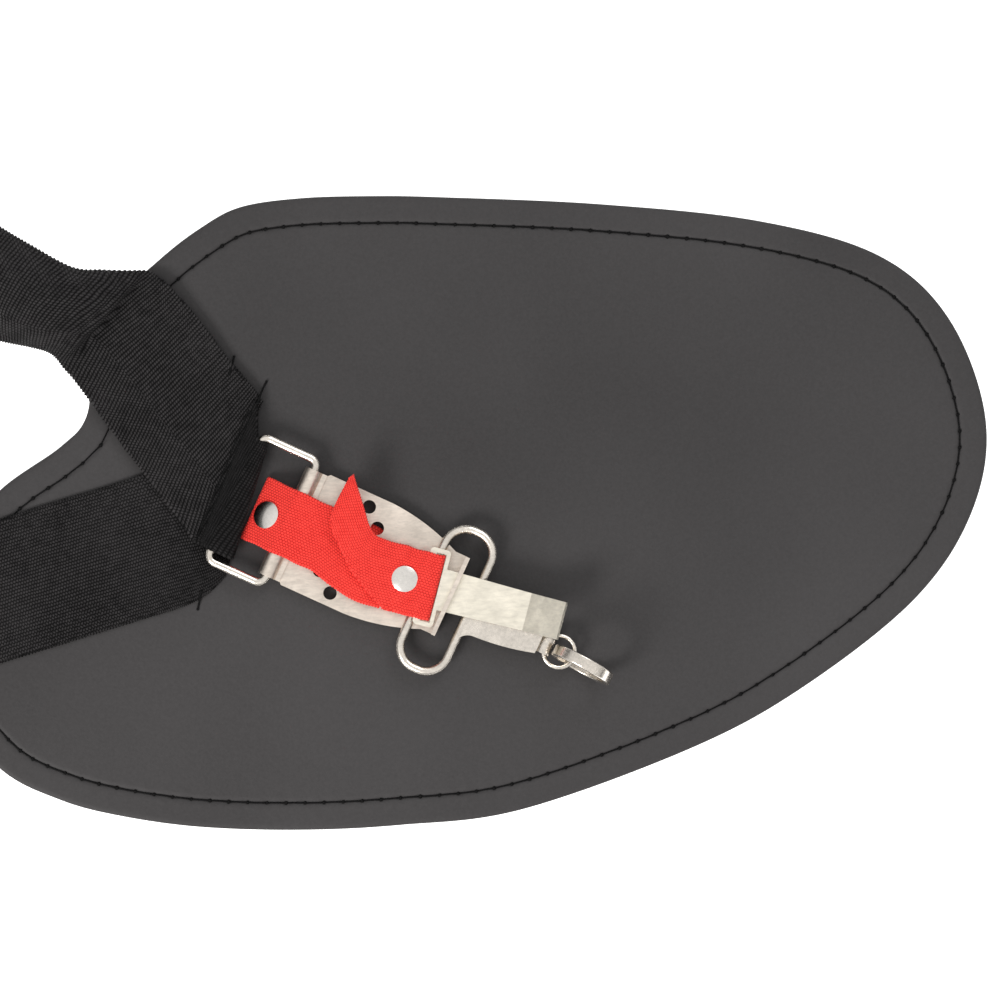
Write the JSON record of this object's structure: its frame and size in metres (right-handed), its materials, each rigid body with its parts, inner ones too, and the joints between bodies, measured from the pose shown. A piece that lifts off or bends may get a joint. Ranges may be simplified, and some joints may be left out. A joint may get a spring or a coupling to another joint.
{
  "type": "brush-cutter harness hip pad",
  "caption": "Stitched hip pad with a webbing yoke, a hinged steel quick-release plate, a red pull strap, a hook eye and a ring that carries a machine.",
  "frame": {"origin": "on the pad's back face, under the middle of the webbing ring's front bar", "axes": "+X along the pad towards its wide round end, +Z out of the pad's front face, the side that carries the steel parts"},
  "size_m": [0.4778, 0.2577, 0.0326],
  "materials": {
    "leatherette": "fine grain, matt",
    "backing": "brushed knit",
    "foam": "closed-cell foam",
    "board": "matt",
    "thread": "twisted thread",
    "black_webbing": "ribbed woven webbing",
    "red_webbing": "woven webbing",
    "nickel_wire": "nickel plated",
    "nickel_sheet": "satin nickel plated",
    "nickel_cap": "bright nickel",
    "black_plastic": "fine moulded texture"
  },
  "bodies": {
    "root": {"pad_back_skin": "backing", "pad_stiffener": "board", "pad_foam_core": "foam", "pad_front_skin": "leatherette", "pad_edge_thread": "thread", "lower_strap": "black_webbing", "upper_strap": "black_webbing", "ring_loop": "black_webbing", "upper_strap_end_loop": "black_webbing", "lower_strap_end_loop": "black_webbing", "loop_stitching": "thread"},
    "ring": {"webbing_ring": "nickel_wire", "release_strap_anchor": "red_webbing", "anchor_stud_cap": "nickel_cap", "anchor_stud_base": "nickel_cap"},
    "plate": {"release_plate": "nickel_sheet", "release_strap_lead": "red_webbing", "release_strap_run": "red_webbing"},
    "tongue": {"release_tongue": "nickel_sheet", "pull_loop": "red_webbing", "pull_rivet_cap": "nickel_cap", "pull_rivet_base": "nickel_cap"},
    "hook": {"hook_eye": "nickel_wire"},
    "link": {"link_ring": "nickel_wire"},
    "carrier": {"machine_ring": "nickel_wire"},
    "adjuster_a": {"adjuster_upper": "black_plastic"},
    "adjuster_b": {"adjuster_lower": "black_plastic"}
  },
  "joints": [
    {"name": "ring_swing", "type": "hinge", "parent": "root", "child": "ring", "pos_m": [-0.02098, 0.00846, 0.0134], "axis": [-0.4147, -0.91, 0], "range_deg": [0, 90]},
    {"name": "plate_swing", "type": "hinge", "parent": "ring", "child": "plate", "pos_m": [-0.00042, -0.00091, 0.0134], "axis": [-0.4147, -0.91, 0], "range_deg": [0, 30], "deforming": ["release_strap_lead"]},
    {"name": "tongue_slide", "type": "slide", "parent": "plate", "child": "tongue", "axis": [-0.9681, 0.2504, 0], "range_m": [0, 0.026], "deforming": ["release_strap_run"]},
    {"name": "hook_swing", "type": "hinge", "parent": "plate", "child": "hook", "pos_m": [0.04878, -0.02558, 0.0135], "axis": [-0.4147, -0.91, 0], "range_deg": [0, 4]},
    {"name": "link_swing", "type": "hinge", "parent": "hook", "child": "link", "pos_m": [0.09392, -0.04615, 0.0135], "axis": [-0.4147, -0.91, 0], "range_deg": [0, 12]},
    {"name": "carrier_spin", "type": "hinge", "parent": "link", "child": "carrier", "pos_m": [0.10741, -0.05312, 0.0204], "axis": [0.4745, 0.874, -0.1045], "range_deg": [-60, 60]},
    {"name": "adjuster_upper_swing", "type": "hinge", "parent": "root", "child": "adjuster_a", "pos_m": [-0.16722, 0.10644, 0.00365], "axis": [0.309, 0.9511, 0], "range_deg": [0, 90]},
    {"name": "adjuster_lower_swing", "type": "hinge", "parent": "root", "child": "adjuster_b", "pos_m": [-0.18126, -0.05241, 0.00365], "axis": [-0.3007, 0.9537, 0], "range_deg": [0, 90]}
  ]
}
